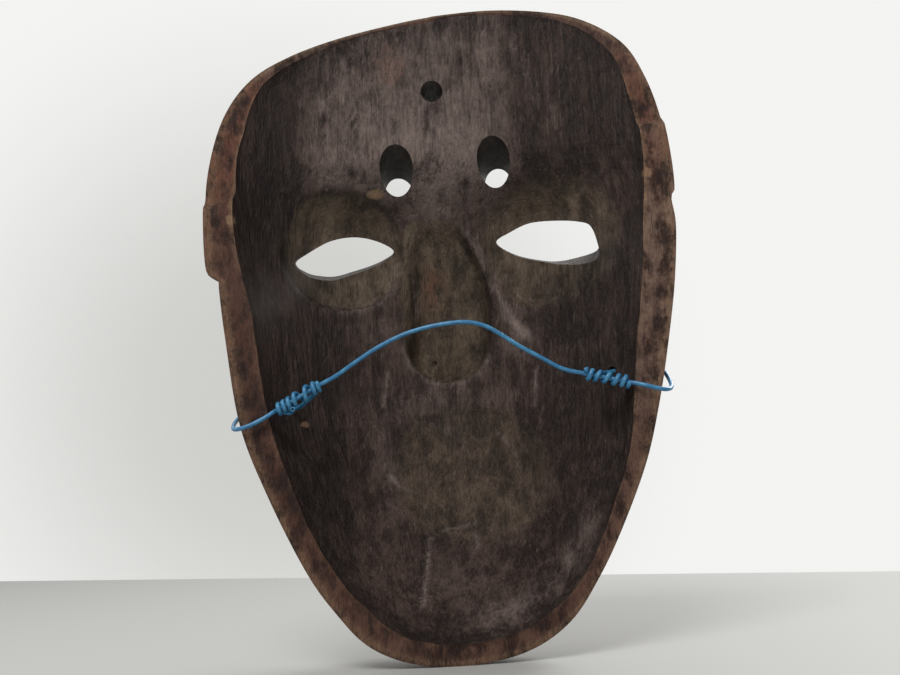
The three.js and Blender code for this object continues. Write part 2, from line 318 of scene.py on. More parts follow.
# Each winding runs from the inner end of its twist to the rim.
LEFT_PITCHES = (2.2, 2.3, 5.2, 6.2, 5.4, 2.9, 2.4, 2.4, 2.3)
LEFT_RADII = (2.1, 2.2, 2.5, 2.7, 2.5, 2.1, 2.05, 2.1, 2.05)
RIGHT_PITCHES = (2.2, 2.8, 3.8, 4.2, 4.2, 3.6, 2.8, 2.2)
RIGHT_RADII = (2.1, 2.05, 2, 2, 2, 2, 2.05, 2.15)
LEFT_CUT_END = [(70.2, -2.6, -27.2), (68.4, -1.6, -26.8), (67.6, 0.6, -26.4), (67.4, 3, -26.2)]
RIGHT_CUT_END = [(-76.5, -1.5, -22.4), (-75.5, -3.2, -21.5), (-73.8, -4.1, -20.9)]
LEFT_TAIL = [(66.6, -14.4, -23.4), (63.6, -9.5, -22.2), (59.4, -5, -19.4)]
RIGHT_TAIL = [(-70.2, -14.6, -16.6), (-66.4, -10, -17.4), (-62, -5.4, -18.6)]
LEFT_FIRST_ANGLE = 2.2
RIGHT_FIRST_ANGLE = 0.6


def wire_route():
    """The whole wire from cut end to cut end, in millimetres."""
    left = wound_turns(LEFT_TWIST[::-1], LEFT_PITCHES, LEFT_RADII, LEFT_FIRST_ANGLE)
    right = wound_turns(RIGHT_TWIST, RIGHT_PITCHES, RIGHT_RADII, RIGHT_FIRST_ANGLE)
    corners = np.vstack([
        LEFT_CUT_END[::-1], left[::-1][::TURN_THINNING], LEFT_TAIL[::-1],
        LEFT_LOOP_ROUTE[-4::-1], LEFT_TWIST[0], LEFT_TWIST[1],
        SPAN_ROUTE[1:-1],
        RIGHT_TWIST[0], RIGHT_TWIST[1], RIGHT_LOOP_ROUTE[1:-3],
        RIGHT_TAIL, right[::TURN_THINNING], RIGHT_CUT_END,
    ])
    return even_spacing(catmull_rom(corners, 12), WIRE_STEP)


def ring_frames(path):
    """Two directions across the path at every point, carried along it without twisting."""
    along = np.gradient(path, axis=0)
    along /= np.linalg.norm(along, axis=1)[:, None]
    side = np.cross(along[0], (0.3, 0.9, 0.2))
    sides = []
    for direction in along:
        side = side - direction * side.dot(direction)
        side /= np.linalg.norm(side)
        sides.append(side)
    sides = np.array(sides)
    return sides, np.cross(along, sides)


def tube_rings(path, radius, around):
    """Rings of points round a path."""
    sides, ups = ring_frames(path)
    angles = np.linspace(0, 2 * math.pi, around, endpoint=False)
    spread = np.cos(angles)[None, :, None] * sides[:, None] + np.sin(angles)[None, :, None] * ups[:, None]
    return path[:, None] + radius * spread


def tube_faces(rings, around, first, inward):
    """The quads between neighbouring rings of a tube."""
    quads = []
    for i in range(rings - 1):
        for j in range(around):
            k = (j + 1) % around
            quad = [first + i * around + j, first + i * around + k,
                    first + (i + 1) * around + k, first + (i + 1) * around + j]
            quads.append(quad if inward else quad[::-1])
    return quads


def smooth_object(name, points, faces):
    """A new smooth-shaded object at the origin, from points in millimetres."""
    mesh = bpy.data.meshes.new(name)
    mesh.from_pydata((np.asarray(points) * MM).tolist(), [], faces)
    mesh.update()
    obj = bpy.data.objects.new(name, mesh)
    bpy.context.collection.objects.link(obj)
    mesh.shade_smooth()
    return obj


JACKET_RADIUS = 0.5 * WIRE_DIAMETER
BORE_RADIUS = 0.6
CORE_RADIUS = 0.5
JACKET_SIDES = 16
CORE_SIDES = 8
CORE_SHORT_BY = 3


def make_jacket(route):
    """The plastic jacket: a hollow tube that is open at both cut ends."""
    outer = tube_rings(route, JACKET_RADIUS, JACKET_SIDES)
    inner = tube_rings(route, BORE_RADIUS, JACKET_SIDES)
    points = np.vstack([outer.reshape(-1, 3), inner.reshape(-1, 3)])
    count = len(route)
    offset = count * JACKET_SIDES
    faces = tube_faces(count, JACKET_SIDES, 0, False) + tube_faces(count, JACKET_SIDES, offset, True)
    for row, turned in ((0, False), (count - 1, True)):
        for j in range(JACKET_SIDES):
            k = (j + 1) % JACKET_SIDES
            a, b = row * JACKET_SIDES + j, row * JACKET_SIDES + k
            quad = [a, b, offset + b, offset + a]
            faces.append(quad[::-1] if turned else quad)
    return smooth_object("wire_jacket", points, faces)


def make_core(route):
    """The copper core, cut a little shorter than its jacket."""
    inside = route[CORE_SHORT_BY:-CORE_SHORT_BY]
    rings = tube_rings(inside, CORE_RADIUS, CORE_SIDES)
    faces = tube_faces(len(inside), CORE_SIDES, 0, False)
    last = (len(inside) - 1) * CORE_SIDES
    faces.append(list(range(CORE_SIDES)))
    faces.append([last + j for j in reversed(range(CORE_SIDES))])
    return smooth_object("wire_core", rings.reshape(-1, 3), faces)


route = wire_route()
jacket = make_jacket(route)
core = make_core(route)
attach(jacket, "hanging_wire")
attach(core, "hanging_wire")
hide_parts("wire_span_jacket", "left_loop_jacket", "right_loop_jacket", "left_twist", "right_twist")
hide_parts("wire_span_core", "left_loop_core", "right_loop_core")


# ---- carved mask: measures in millimetres ----------------------------------------------------

RIM_OUTLINE = [
    (0, -136), (22, -134), (40, -126), (53, -112), (65, -94), (80, -62), (91, -31), (96.5, 8),
    (98.5, 28), (99, 34), (104, 37.5), (105, 62), (103, 86), (96, 112), (84, 131), (67, 143), (46, 152),
    (22, 159), (-2, 164), (-30, 166), (-56, 162), (-74, 154), (-90, 138), (-98, 118), (-103, 96),
    (-105, 76), (-105, 62), (-103.2, 58), (-104, 45), (-101, 20), (-96, -5), (-90, -30), (-82, -56),
    (-70, -82), (-58, -103), (-44, -121), (-25, -132),
]
CENTRE_Z = 12
RIM_TOP = 166
# The rim's width at heights up its left and its right side.
LEFT_WIDTHS = ((-136, 8), (-122, 11), (-60, 11.5), (-25, 12.5), (33, 13.5), (42, 15.5), (77, 14.5),
               (112, 12), (132, 5), (150, 2.6), (166, 2))
RIGHT_WIDTHS = ((-136, 8), (-100, 6.5), (-64, 7.5), (-30, 12.5), (45, 16), (83, 14.5), (120, 12),
                (142, 6), (158, 3), (166, 2))
# The mesh: vertices round the mask, and rows down the hollow, over the rim and round the face.
AROUND = 370
HOLLOW_ROWS = 140
RIM_ROWS = 10
FACE_ROWS = 108

RIM_ROUND = 1.0
RIM_SINK = 0.8
CREASE_SINK = 0.6
# The rim's step down at each temple, and its further fall to the forehead's top.
LEFT_STEP_Z = 66
RIGHT_STEP_Z = 93
STEP_DROP = 4
TOP_DROP = 23
FACE_DEPTH = 65
HOLLOW_DEPTH = 50
FOREHEAD_HOLLOW = 34


def ramp(x, low, high):
    """0 at low and before it, 1 at high and past it, and smooth between. High may be the lesser."""
    t = np.clip((x - low) / (high - low), 0, 1)
    return t * t * (3 - 2 * t)


def bump(distance, spread):
    """1 at no distance, fading out like a bell."""
    return np.exp(-((distance / spread) ** 2))


def near_line(x, z, line, width):
    """1 on a drawn line, fading out over its width."""
    nearest = np.full(len(x), 1e9)
    for (x0, z0), (x1, z1) in zip(line, line[1:]):
        run_x, run_z = x1 - x0, z1 - z0
        t = np.clip(((x - x0) * run_x + (z - z0) * run_z) / (run_x**2 + run_z**2), 0, 1)
        nearest = np.minimum(nearest, np.hypot(x - x0 - t * run_x, z - z0 - t * run_z))
    return bump(nearest, width)


def evened_round(values, spread):
    """A closed run of values with its small steps evened out."""
    shifts = range(-3 * spread, 3 * spread + 1)
    weights = [math.exp(-0.5 * (shift / spread) ** 2) for shift in shifts]
    rolled = [weight * np.roll(values, shift) for weight, shift in zip(weights, shifts)]
    return sum(rolled) / sum(weights)


def soft_noise(x, y, seed):
    """Smooth random heights from -1 to 1, one cell to each unit of x and y."""
    table = np.random.RandomState(seed).uniform(-1, 1, (128, 128))
    xi, yi = np.floor(x).astype(int), np.floor(y).astype(int)
    fx, fy = x - xi, y - yi
    fx, fy = fx * fx * (3 - 2 * fx), fy * fy * (3 - 2 * fy)
    xi, yi = xi % 128, yi % 128
    xj, yj = (xi + 1) % 128, (yi + 1) % 128
    low = table[xi, yi] * (1 - fx) + table[xj, yi] * fx
    high = table[xi, yj] * (1 - fx) + table[xj, yj] * fx
    return low * (1 - fy) + high * fy


def rim_fall(x, z, across):
    """How far the rim lies below its back plane. across is 0 at its outer edge and 1 at its inner."""
    left = x > 0
    start = np.where(left, LEFT_STEP_Z + 12 * across**1.4, RIGHT_STEP_Z + 7 * across)
    middle = np.where(left, LEFT_STEP_Z + 6, RIGHT_STEP_Z + 3)
    rise = np.clip((z - middle) / (RIM_TOP - middle), 0, 1)
    step = ramp(z, start - 0.3, start + 4.5)
    scoop = 1.6 * np.sin(np.pi * np.clip(across, 0, 1)) * bump(z - start - 16, 14) * step
    return STEP_DROP * step + TOP_DROP * rise**2.2 + scoop


def dome(reach, across, up):
    """1 in the middle and 0 at the edge, with a flat floor and steep sides."""
    return np.maximum(0, 1 - reach**across) ** (1 / up)


# Ovals of the hollow: middle x and z, half width and half height.
LEFT_SOCKET = (47.5, 53, 28.5, 29)
RIGHT_SOCKET = (-50, 51, 32, 31)
# The nose hollow's edges: height, edge on the wearer's right and edge on the left.
NOSE_HOLLOW = [
    (-13, 0, 1), (-10, -9, 10), (-5, -16, 16), (2, -20, 20), (14, -22, 21.8), (26, -22, 21.5),
    (37, -20.6, 21), (46, -17.6, 20.4), (58, -12.2, 19.4), (64, -9.5, 18), (68, -7, 14),
]
NOSE_HOLLOW_TOP = 68
NOSE_HOLLOW_BASE = -13
MOUTH_PATCH = (-7, -56, 34, 30)
BULGE = (22, -78, 9, 13)
KNOT = (20, 141, 6.6, 8.2)
WORM_HOLE = (6.9, -1.2)
# Ridges, lips, knife cuts and scuffs of the hollow: lines of (x, z).
RIGHT_RIDGE = [(-13.5, 58), (-20, 47), (-24.5, 37), (-27, 26), (-31, 15), (-37, 7)]
LEFT_RIDGE = [(50, 23), (40, 24.5), (31, 29), (25.5, 36), (22.5, 46)]
NOSE_LIP = [(21.6, 6), (18.8, -4), (12, -10.5), (4, -13.6), (-6, -13), (-14, -9), (-20, -1)]
KNIFE_CUTS = [
    [(14.7, -85.4), (16.4, -98.7), (18, -112)], [(14.2, -84.6), (6.2, -80.6), (-6.3, -79.1)],
    [(-6.8, -79.1), (-7.1, -89.1)], [(12.8, -29.8), (3.5, -34.2), (-4, -43.6)],
    [(15.6, 40), (15.2, 22)], [(13.4, 36), (13.2, 26)],
]
SCUFFS = [
    [(31, -55), (27, -60), (22, -62.5)], [(-21, -38), (-27, -46), (-29, -54)],
    [(9, 128), (8, 118), (9, 108)], [(52, 124), (51, 108)], [(44, 132), (43.5, 120)],
    [(-56, 118), (-57, 104)], [(-12, 112), (-12.5, 98)], [(30, -6), (33, -22)],
    [(-40, -10), (-38, -26)], [(4, 66), (3, 58)], [(-30, 74), (-33, 66)],
]
STEP_EDGE = [(-40, 153), (-42, 139), (-48, 128), (-49, 115)]


def oval(x, z, shape, power=2.0):
    """0 in the middle of an oval and 1 on its edge."""
    cx, cz, half_x, half_z = shape
    return (np.abs((x - cx) / half_x) ** power + np.abs((z - cz) / half_z) ** power) ** (1 / power)


def socket_depth(x, z, shape, depth, crisp):
    """A spoon cut: a crisp step along its lower edge and a soft run-out above."""
    e = oval(x, z, shape, 2.2)
    inside = np.clip(1 - e * e, 0, 1)
    lower = ramp(z, shape[1] + 12, shape[1] - 8)
    step = 0.55 * ramp(1 - e, -0.02, 0.07 if crisp else 0.16) + 0.45 * inside**0.8
    return depth * (step * lower + inside**1.3 * (1 - lower))


def nose_sides(x, z):
    """How far inside the right and the left edge of the nose hollow a place lies."""
    heights, right, left = zip(*NOSE_HOLLOW)
    return x - np.interp(z, heights, right), np.interp(z, heights, left) - x


def nose_edge(x, z):
    """How far inside the nearest edge of the nose hollow a place lies."""
    right, left = nose_sides(x, z)
    ends = np.minimum((z - NOSE_HOLLOW_BASE) * 1.2, NOSE_HOLLOW_TOP - z)
    return np.minimum(np.minimum(right, left), ends)


def nose_depth(x, z):
    """The nose hollow, which deepens towards its lower end."""
    right, left = nose_sides(x, z)
    down = np.clip((69 - z) / 79, 0, 1)
    floor = 2.6 + 13.7 * down**0.85
    gentle = 3.5 + 10 * ramp(z, -4, 24)
    ends = ramp(z, -13.4, -9.5) * ramp(68.5 - z, 0, 13)
    return floor * ramp(right, -0.4, 3) * ramp(left, -0.4, gentle) * ends


def hollow_recess(x, z):
    """How much deeper than the plain bowl the hollow is cut."""
    left = socket_depth(x, z, LEFT_SOCKET, 5.5, True)
    right = socket_depth(x, z, RIGHT_SOCKET, 4.5, False)
    mouth = 0.9 * ramp(1 - oval(x, z, MOUTH_PATCH, 2.4), 0, 0.10)
    bulge = 2.6 * bump(oval(x, z, BULGE), 0.9)
    sides = np.maximum(left, right)
    ridges = 1.5 * near_line(x, z, RIGHT_RIDGE, 3.4) + 1.0 * near_line(x, z, LEFT_RIDGE, 3)
    cuts = sum(0.5 * near_line(x, z, cut, 0.8) for cut in KNIFE_CUTS)
    worm = 2 * bump(np.hypot(x - WORM_HOLE[0], z - WORM_HOLE[1]), 1.1)
    return np.maximum(sides, nose_depth(x, z)) + mouth + cuts + worm - bulge - ridges


def gouge_marks(x, z):
    """Long shallow strokes up and down the hollow, and the step beside the upper right edge."""
    strokes = 0.30 * soft_noise(x / 6.5 + 0.02 * z, z / 30, 11)
    fine = 0.15 * soft_noise(x / 2.6, z / 14, 12)
    broad = 0.8 * soft_noise(x / 15, z / 36, 13)
    edge = -44 + 6 * np.sin((z - 118) / 17) - 0.12 * (z - 118)
    step = 1.5 * ramp(edge - x, -1.4, 1.4) * ramp(z, 94, 116) * ramp(-x, 95, 60)
    return strokes + fine + broad + step


def hollow_surface(crease_x, crease_z, fall, reach):
    """The hollow's floor and walls. reach is 0 at the hollow's middle and 1 at its crease."""
    x = crease_x * reach
    z = CENTRE_Z + (crease_z - CENTRE_Z) * reach
    floor = HOLLOW_DEPTH + (FOREHEAD_HOLLOW - HOLLOW_DEPTH) * ramp(z, 62, 98)
    rise = dome(reach, 2.4, 1.4)
    fade = 1 - ramp(reach, 0.8, 0.97)
    y = -fall + (fall - floor) * rise - hollow_recess(x, z) * fade
    y += gouge_marks(x, z) * (1 - ramp(reach, 0.96, 1.0) * 0.8)
    return x, y, z


# Features of the face: a calm, plain face on even thirds.
BROW_Z = 86
NOSE_TOP = 82
NOSE_BASE = -12
MOUTH_Z = -52
CHIN_Z = -106
LEFT_LIDS = (48, 54.5)
RIGHT_LIDS = (-52, 55.5)


def nose_height(x, z):
    """A straight nose that rises towards its base, with a rounded wing on each side."""
    down = np.clip((NOSE_TOP - z) / (NOSE_TOP - NOSE_BASE), 0, 1)
    ridge = 9 + 24 * down**1.3
    half = 8.5 + 4.5 * down
    ends = ramp(z, NOSE_BASE - 7, NOSE_BASE + 5) * (1 - ramp(z, NOSE_TOP, NOSE_TOP + 30))
    wings = 12 * bump(np.hypot(np.abs(x) - 14.5, (z + 4) * 0.9), 8)
    return np.maximum(ridge * bump(x, half) * ends, wings)


def lip_height(x, z):
    """Two closed lips with a bow in the upper one, and the seam between them."""
    side = np.abs(x)
    bow = 2.2 * bump(side - 8, 6) - 1.5 * bump(side, 4)
    wide = 1 - ramp(side, 12, 28)
    drop = 2.5 * (side / 28) ** 2
    upper = 7.5 * bump(z - MOUTH_Z - 6 - bow * 0.6 + drop, 4.2)
    lower = 8.5 * bump(z - MOUTH_Z + 7 + drop * 0.3, 4.8)
    seam = -2.4 * bump(z - MOUTH_Z - 0.6 + drop, 1.9) * (1 - ramp(side, 22, 31))
    return (upper + lower) * wide + seam


def eye_height(x, z, middle):
    """The lids stand round the opening, in a shallow socket under the brow."""
    cx, cz = middle
    e = np.hypot((x - cx) / 31, (z - cz + 1) / 17)
    lids = 3.4 * bump(e - 0.95, 0.16)
    socket = -3.2 * bump(np.hypot((x - cx) / 34, (z - cz) / 22), 1)
    return lids + socket


def feature_height(x, z):
    """How far the face's features stand out from its plain dome."""
    side = np.abs(x)
    brow = 7.5 * bump(z - BROW_Z + 0.004 * (side - 40) ** 2, 6.5) * bump(side - 42, 34)
    cheek = 7 * bump(np.hypot((side - 52) / 24, (z - 4) / 27), 1)
    chin = 9 * bump(np.hypot(x / 26, (z - CHIN_Z) / 17), 1)
    groove = -4 * bump(np.hypot(x / 26, (z + 77) / 8), 1)
    fold = -1.3 * bump(side - 30 - 0.28 * (-12 - z), 3.2) * ramp(z, -66, -44) * (1 - ramp(z, -14, 2))
    eyes = np.where(x > 0, eye_height(x, z, LEFT_LIDS), eye_height(x, z, RIGHT_LIDS))
    philtrum = -1.4 * bump(x, 3) * ramp(z, -44, -38) * (1 - ramp(z, -22, -16))
    return brow + cheek + chin + groove + fold + eyes + philtrum + nose_height(x, z) + lip_height(x, z)


def face_surface(edge_x, edge_z, start, reach):
    """The front. reach is 0 in its middle and 1 at its edge."""
    x = edge_x * reach
    z = CENTRE_Z + (edge_z - CENTRE_Z) * reach
    rise = dome(reach, 3.2, 1.8)
    fade = 1 - ramp(reach, 0.74, 0.97)
    facets = 0.5 * soft_noise(x / 9, z / 9, 21) + 0.25 * soft_noise(x / 4, z / 7, 22)
    y = -start + (start - FACE_DEPTH) * rise - feature_height(x, z) * fade + facets * rise * 0.7
    return x, y, z


def rim_width(x, z):
    left = np.interp(z, *zip(*LEFT_WIDTHS))
    right = np.interp(z, *zip(*RIGHT_WIDTHS))
    return np.where(x > 0, left, right)


OUTLINE_STEP = 0.25
EVEN_SPREAD = 5


def rim_lines():
    """The rim's outer edge, the same edge evened out, its outward directions, and the crease inside."""
    outline = catmull_rom([(x, 0, z) for x, z in RIM_OUTLINE], 40, closed=True)
    outline = even_spacing(np.vstack([outline, outline[:1]]), OUTLINE_STEP)
    picks = np.linspace(0, len(outline) - 1, AROUND, endpoint=False).round().astype(int)
    edge = outline[picks][:, (0, 2)]
    even = np.column_stack([evened_round(edge[:, 0], EVEN_SPREAD), evened_round(edge[:, 1], EVEN_SPREAD)])
    out = even - np.array([0, CENTRE_Z])
    out /= np.linalg.norm(out, axis=1)[:, None]
    turns = np.arange(AROUND)
    wobble = 0.5 * soft_noise(turns / 10, turns * 0, 31) + 0.25 * soft_noise(turns / 3.5, turns * 0, 32)
    width = rim_width(even[:, 0], even[:, 1]) + wobble
    return edge, even, out, even - out * width[:, None]


def shell_points(columns, rows):
    """Where each vertex of the ball goes: down the hollow, over the rim and round the face."""
    edge, even, out, crease = rim_lines()
    points = np.zeros((len(columns), 3))

    hollow = rows <= HOLLOW_ROWS
    reach = np.sin(rows[hollow] / HOLLOW_ROWS * math.pi / 2)
    x, z = crease[columns[hollow]].T
    inner_fall = rim_fall(*even[columns[hollow]].T, np.ones(hollow.sum())) + CREASE_SINK
    points[hollow] = np.column_stack(hollow_surface(x, z, inner_fall, reach))

    rim = (rows > HOLLOW_ROWS) & (rows < HOLLOW_ROWS + RIM_ROWS)
    across = 1 - (rows[rim] - HOLLOW_ROWS) / RIM_ROWS
    rim_columns = columns[rim]
    outer = edge[rim_columns] - out[rim_columns] * RIM_ROUND * 0.6
    flat = outer + (crease[rim_columns] - outer) * across[:, None]
    fall = rim_fall(*edge[rim_columns].T, across)
    facets = 0.5 * soft_noise(rim_columns / 11, across * 1.3, 42)
    facets += 0.2 * soft_noise(rim_columns / 4, across * 3, 41)
    points[rim] = np.column_stack([flat[:, 0], -fall - RIM_SINK - facets, flat[:, 1]])

    face = rows >= HOLLOW_ROWS + RIM_ROWS
    last = HOLLOW_ROWS + RIM_ROWS + FACE_ROWS
    reach = np.sin((last - rows[face]) / FACE_ROWS * math.pi / 2)
    hold = ramp(reach, 0.88, 0.99)[:, None]
    x, z = (even[columns[face]] * (1 - hold) + edge[columns[face]] * hold).T
    start = rim_fall(*edge[columns[face]].T, np.zeros(face.sum())) + RIM_ROUND
    points[face] = np.column_stack(face_surface(x, z, start, reach))
    return points


# Soft round patches of the hollow: middle x and z, reach across and up, and strength. The shine patches
# are painted highlights; the nose stain and the chips are the wood's own colour.
SHINE = [
    (10, 96, 32, 24, 0.6), (-1, 74, 11, 13, 0.6), (4, -22, 26, 12, 0.35), (31, -48, 6, 22, 0.3),
    (-34, 6, 10, 9, 0.5), (30, 12, 14, 10, 0.25),
]
CHIN_SHINE = [(4, -104, 30, 14, 0.15)]
NOSE_STAIN = [(5.5, 34, 5.4, 10.8, 0.9)]
CHIPS = [
    (30.6, 80, 4.59, 2.21, 1), (66, -31, 1.98, 1.44, 1), (93, 60, 2.4, 2.4, 1), (-93.5, 70, 2.4, 2.4, 1),
]


def patches(x, z, spots):
    """Soft round spots, each as strong in its middle as its last number says."""
    return sum(strength * bump(oval(x, z, shape), 1) for *shape, strength in spots)


def oiled_places(x, z):
    """The spoon cuts, the nose hollow and the mouth's patch, which have turned olive."""
    left = 1 - ramp(oval(x, z, LEFT_SOCKET, 2.2), 0.95, 1.03)
    right = 1 - ramp(oval(x, z, RIGHT_SOCKET, 2.2), 0.86, 1.08)
    nose = ramp(nose_edge(x, z), -0.5, 1.5)
    mouth = 1 - ramp(oval(x, z, MOUTH_PATCH, 2.4), 0.93, 1.12)
    return np.maximum.reduce([left, 0.75 * right, nose, 0.5 * mouth])


def chin_places(x, z, row):
    """The painted highlight at the hollow's lower end, mostly a curve beside its right wall."""
    reach = np.sin(np.clip(row / HOLLOW_ROWS, 0, 1) * math.pi / 2)
    curve = bump((reach - 0.945) / 0.04, 1) * ramp(-x, -14, 16) * ramp(-z, 64, 90)
    return patches(x, z, CHIN_SHINE) + 0.8 * curve


def highlight_and_scuff_places(x, z, olive, chin):
    """Painted highlights: the sheen on the forehead and the shine patches, light along the ridges, the
    nose hollow's lip and the step's edge, and a lit side to each knife cut; also pale lines for the
    scuffs.
    """
    forehead = ramp(z, 66, 92) * (1 - ramp(x, 48, 72)) * (1 - ramp(-x, 24, 46))
    ridges = 0.9 * near_line(x, z, RIGHT_RIDGE, 2.8) + 0.75 * near_line(x, z, LEFT_RIDGE, 2.6)
    lips = 0.7 * near_line(x, z, NOSE_LIP, 1.5) + 0.55 * near_line(x, z, STEP_EDGE, 1.1)
    # A pale line beside each knife cut, painted as light on its lip, and along each scuff.
    cuts = sum(0.85 * near_line(x + 0.8, z + 0.5, cut, 1.0) for cut in KNIFE_CUTS + SCUFFS)
    shine = (0.75 * forehead + patches(x, z, SHINE) + chin) * (1 - 0.8 * olive)
    return np.clip(shine + ridges + lips + cuts, 0, 1.4)


def painted_shade_places(x, z, row, chin):
    """Painted shade: darker walls near the crease, darker flanks on both sides and on the right forehead,
    and shade in the cuts, along the nose hollow's right wall and along the left socket's edge.
    """
    walls = bump(row - HOLLOW_ROWS + 16, 15)
    flanks = ramp(np.abs(x), 34, 60) * (1 - ramp(z, 20, 60)) + ramp(-x, 30, 54) * ramp(z, 66, 96)
    flanks = np.maximum(flanks, 0.45 * ramp(-x, 20, 44) * (1 - ramp(z, -40, 0)))
    flanks = np.maximum(flanks, 0.8 * ramp(x, 60, 76) * (1 - ramp(z, 100, 130)))
    # The walls near the crease and the flanks are darkened as painted shade, less so under the painted
    # chin highlight.
    wall_shade = 0.75 * np.maximum(walls, flanks) * (1 - 0.7 * np.clip(chin, 0, 1))
    cuts = 0.7 * sum(near_line(x - 0.5, z - 0.4, cut, 0.9) for cut in KNIFE_CUTS)
    nose = 0.7 * bump(nose_sides(x, z)[0] - 0.9, 1.1) * ramp(z, -8, 6) * (1 - ramp(z, 60, 68))
    spoon = oval(x, z, LEFT_SOCKET, 2.2)
    socket = 0.7 * bump(spoon - 0.97, 0.05) * ramp(z, 30, 60)
    socket += 0.8 * bump(spoon - 0.965, 0.022) * ramp(-z, -46, -30)
    return np.clip(wall_shade + cuts + nose + socket, 0, 1)


def dusty_rim(x, z):
    """How pale and dusty the rim is: most on its right side, least at its left."""
    dust = 0.12 + 0.88 * ramp(-x, 30, 80) * (1 - 0.75 * ramp(-z, 10, 50))
    dust *= 1 - 0.8 * ramp(z, 92, 97) * (x < 0)
    top_left = 0.8 * ramp(z, 128, 140) * ramp(x, 30, 60)
    chin = 0.3 * ramp(-z, 112, 128)
    return np.maximum.reduce([dust, top_left, chin])


def dark_rim(x, z):
    """The lower left stretch of the rim, which is darker than the rest."""
    return 0.35 * ramp(x, 50, 76) * (1 - ramp(z, 10, 50)) * ramp(z, -84, -60)


def crease_highlight_and_worn_edge(z, row):
    """A painted highlight along the crease inside the rim, and the rubbed edge outside it."""
    crease = bump(row - HOLLOW_ROWS, 1.1) * (0.25 + 0.75 * ramp(z, 30, 62) * (1 - ramp(z, 112, 135)))
    edge = 0.6 * bump(row - HOLLOW_ROWS - RIM_ROWS + 1, 1.6)
    return np.maximum(crease, edge)


def reddish_places(x, z):
    """The stain in the nose hollow, and the knot with its ring."""
    knot = oval(x, z, KNOT)
    return patches(x, z, NOSE_STAIN) + 0.45 * bump(knot, 0.8) + 0.45 * bump(knot - 1, 0.12)


def paint_zones(block, points, row):
    """Stores where the wood is oiled, spotted, dusty or rubbed, and where highlights and shade are
    painted, for the wood's material.
    """
    x, z = points[:, 0], points[:, 2]
    inside = 1 - ramp(row, HOLLOW_ROWS - 1.5, HOLLOW_ROWS + 0.5)
    front = ramp(row, HOLLOW_ROWS + RIM_ROWS + 2, HOLLOW_ROWS + RIM_ROWS + 12)
    rim = 1 - inside
    olive = oiled_places(x, z) * inside
    chin = chin_places(x, z, row)
    # The pale zone is mostly painted highlight and sheen, with some pale scuffs.
    pale = highlight_and_scuff_places(x, z, olive, chin) * inside
    # Painted shade in the hollow, with the darker lower left stretch of the rim added.
    shade_and_dark_rim = painted_shade_places(x, z, row, chin) * inside + dark_rim(x, z) * rim * (1 - front)
    chips = patches(x, z, CHIPS) * (1 - front)
    red_rim = (0.25 + 0.35 * ramp(z, 60, 80)) * (1 - ramp(z, 124, 136)) * (1 - front)
    red = reddish_places(x, z) * inside + red_rim * rim
    # marks holds the crease highlight with the rubbed edge, the painted shade with the dark rim stretch,
    # and where the front begins.
    painted_zones = {
        "zones": (rim, olive, pale),
        "marks": (crease_highlight_and_worn_edge(z, row), shade_and_dark_rim, front),
        "touches": (dusty_rim(x, z) * rim, chips, red),
    }
    for name, values in painted_zones.items():
        stored = block.data.attributes.new(name, "FLOAT_COLOR", "POINT")
        colours = np.column_stack([*values, np.ones(len(x))])
        stored.data.foreach_set("color", colours.astype(np.float32).ravel())


def carve_block():
    """A ball whose rows are pushed into the hollow, the rim and the face."""
    rows = HOLLOW_ROWS + RIM_ROWS + FACE_ROWS
    bpy.ops.object.select_all(action="DESELECT")
    bpy.ops.mesh.primitive_uv_sphere_add(segments=AROUND, ring_count=rows, radius=1)
    block = bpy.context.object
    block.name = "carved_mask"
    count = len(block.data.vertices)
    ball = np.zeros(count * 3)
    block.data.vertices.foreach_get("co", ball)
    ball = ball.reshape(-1, 3)
    polar = np.arccos(np.clip(ball[:, 2], -1, 1))
    turn = np.arctan2(ball[:, 1], ball[:, 0]) % (2 * math.pi)
    row = np.round(polar / math.pi * rows).astype(int)
    column = np.round(turn / (2 * math.pi) * AROUND).astype(int) % AROUND
    points = shell_points(column, row)
    block.data.vertices.foreach_set("co", (points * MM).ravel())
    block.data.update()
    # Faces that the cutters leave later have no skin, so the wood's material tells them apart.
    skin = block.data.attributes.new("skin", "FLOAT", "FACE")
    skin.data.foreach_set("value", np.ones(len(block.data.polygons), np.float32))
    face_outwards(block)
    return block, points, row


# Openings: outlines as (x, z) at the front and at the hollow's floor, and the round bores.
EYE_FRONT_Y = -62
EYE_BACK_Y = -46
LEFT_EYE = [
    (73.5, 53.8), (66.2, 59.4), (55.9, 64.8), (44.2, 66.2), (33.2, 63.4), (24.4, 57.4),
    (28.6, 53.5), (36.3, 50.4), (45, 48.2), (51.6, 46.7), (58.1, 46.6), (67.6, 48.9),
]
LEFT_EYE_BACK = [
    (71.5, 49.9), (64.2, 55), (54.2, 59.8), (42.8, 61), (32.1, 58.4), (23.4, 53),
    (27.7, 48), (35.1, 44.4), (43.5, 42.2), (50, 40.8), (56.3, 40.6), (65.5, 43.6),
]
RIGHT_EYE = [
    (-27.6, 58.3), (-35, 63.4), (-45.4, 67.7), (-59.7, 68.6), (-69.7, 67.4), (-76, 64.6),
    (-78.6, 58.8), (-78, 53.1), (-69.3, 50), (-60.1, 47.4), (-51.5, 47.5), (-36.7, 51.5),
]
RIGHT_EYE_BACK = [
    (-26.7, 54), (-33.8, 58.8), (-43.9, 62.8), (-57.7, 63.4), (-67.4, 62.4), (-73.2, 60),
    (-75.8, 53.5), (-75.6, 46.8), (-67.5, 43), (-58.1, 41.6), (-49.8, 42.8), (-35.5, 46.8),
]
